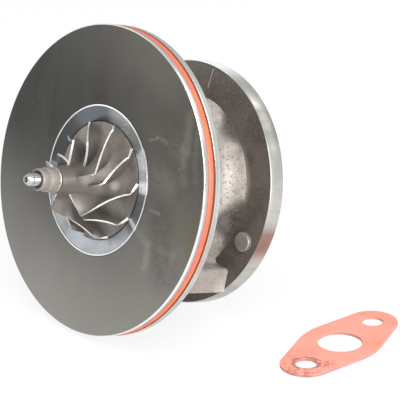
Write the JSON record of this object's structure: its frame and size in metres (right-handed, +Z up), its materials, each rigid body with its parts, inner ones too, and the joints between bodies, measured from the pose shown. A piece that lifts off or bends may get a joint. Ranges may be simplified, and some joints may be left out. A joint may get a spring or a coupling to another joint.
{
  "type": "turbocharger cartridge",
  "caption": "Turbocharger centre cartridge: cast bearing housing with sealing disc, spinning compressor and turbine wheels, and its loose oil drain gasket.",
  "frame": {"origin": "on the ground, under the middle of the box round the cartridge and its gasket; the cartridge lies on the rims of its disc and its flange as in the picture", "axes": "+Z up, +X to the right seen from the nose of the rotor, and the nose points towards -Y, raised by 14.8 degrees"},
  "size_m": [0.1368, 0.1118, 0.1061],
  "materials": {
    "cast_iron": "cast iron, machined on its discs and rims and as cast on its neck",
    "machined_plate": "turned bright, finely lined",
    "cast_aluminium": "as cast, with machined blade edges",
    "ground_steel": "ground and hardened steel",
    "nut_steel": "turned steel with a warm tint",
    "orange_rubber": "smooth orange silicone rubber",
    "black_rubber": "smooth black rubber",
    "bronze": "turned bearing bronze",
    "spring_steel": "dark spring steel",
    "nickel_alloy": "investment-cast heat-resisting alloy, dull",
    "shield_steel": "pressed stainless sheet",
    "gasket_sheet": "pressed fibre sheet, salmon red"
  },
  "bodies": {
    "housing": {"bearing_housing": "cast_iron", "seal_plate": "machined_plate", "dowel_pin": "ground_steel", "thrust_pin_1": "ground_steel", "thrust_pin_2": "ground_steel", "disc_o_ring": "orange_rubber", "seal_plate_o_ring": "black_rubber", "thrust_bearing": "bronze", "compressor_piston_ring": "spring_steel", "turbine_piston_ring": "spring_steel", "bearing_circlip_front": "spring_steel", "bearing_circlip_middle": "spring_steel", "bearing_circlip_rear": "spring_steel", "oil_baffle": "spring_steel", "heat_shield": "shield_steel"},
    "rotor": {"rotor_shaft": "ground_steel", "turbine_wheel": "nickel_alloy", "compressor_wheel": "cast_aluminium", "shaft_nut": "nut_steel", "thrust_collar": "ground_steel", "seal_bush": "ground_steel"},
    "front_bush": {"journal_bearing_front": "bronze"},
    "rear_bush": {"journal_bearing_rear": "bronze"},
    "gasket": {"drain_gasket": "gasket_sheet"}
  },
  "joints": [
    {"name": "rotor_spin", "type": "hinge", "parent": "housing", "child": "rotor", "pos_m": [-0.01445, -0.02507, 0.05407], "axis": [0, -0.9668, 0.2557], "continuous": true},
    {"name": "front_bearing_spin", "type": "hinge", "parent": "housing", "child": "front_bush", "pos_m": [-0.01445, -0.00574, 0.04896], "axis": [0, -0.9668, 0.2557], "continuous": true},
    {"name": "rear_bearing_spin", "type": "hinge", "parent": "housing", "child": "rear_bush", "pos_m": [-0.01445, 0.0107, 0.04461], "axis": [0, -0.9668, 0.2557], "continuous": true},
    {"name": "gasket_lift", "type": "slide", "parent": "housing", "child": "gasket", "axis": [0, 0, 1], "range_m": [0, 0.03]}
  ]
}
